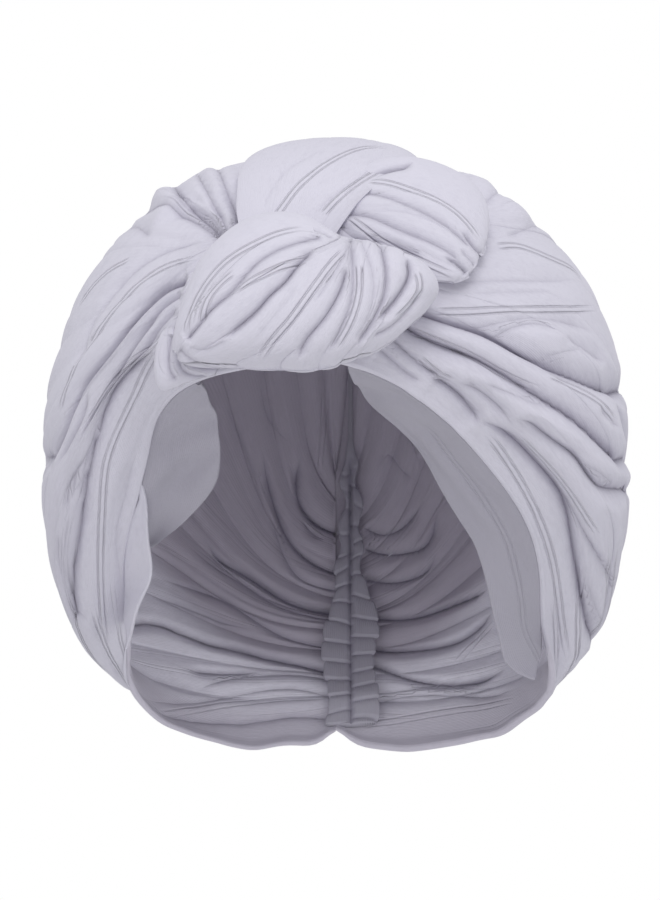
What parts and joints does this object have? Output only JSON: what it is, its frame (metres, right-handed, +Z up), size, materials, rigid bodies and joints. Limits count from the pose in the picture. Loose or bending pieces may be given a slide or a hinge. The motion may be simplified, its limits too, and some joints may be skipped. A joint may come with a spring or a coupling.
{
  "type": "turban hat",
  "caption": "Ready-tied pleated jersey turban hat with a large crossed knot over the forehead and a gathered back seam.",
  "frame": {"origin": "centre of the head hollow, where the wearer's head holds the hat", "axes": "+Z up, -Y forward over the wearer's face, +X to the wearer's left"},
  "size_m": [0.1996, 0.2324, 0.2161],
  "materials": {
    "jersey": "matt ribbed jersey, pale lavender grey",
    "facing": "matt plain jersey, pale lavender grey"
  },
  "bodies": {
    "root": {"left_panel": "jersey", "right_panel": "jersey", "knot_loop": "jersey", "knot_band": "jersey", "knot_side_band": "jersey", "knot_tuck": "jersey", "left_facing": "facing", "right_facing": "facing", "back_casing": "facing"}
  },
  "joints": []
}
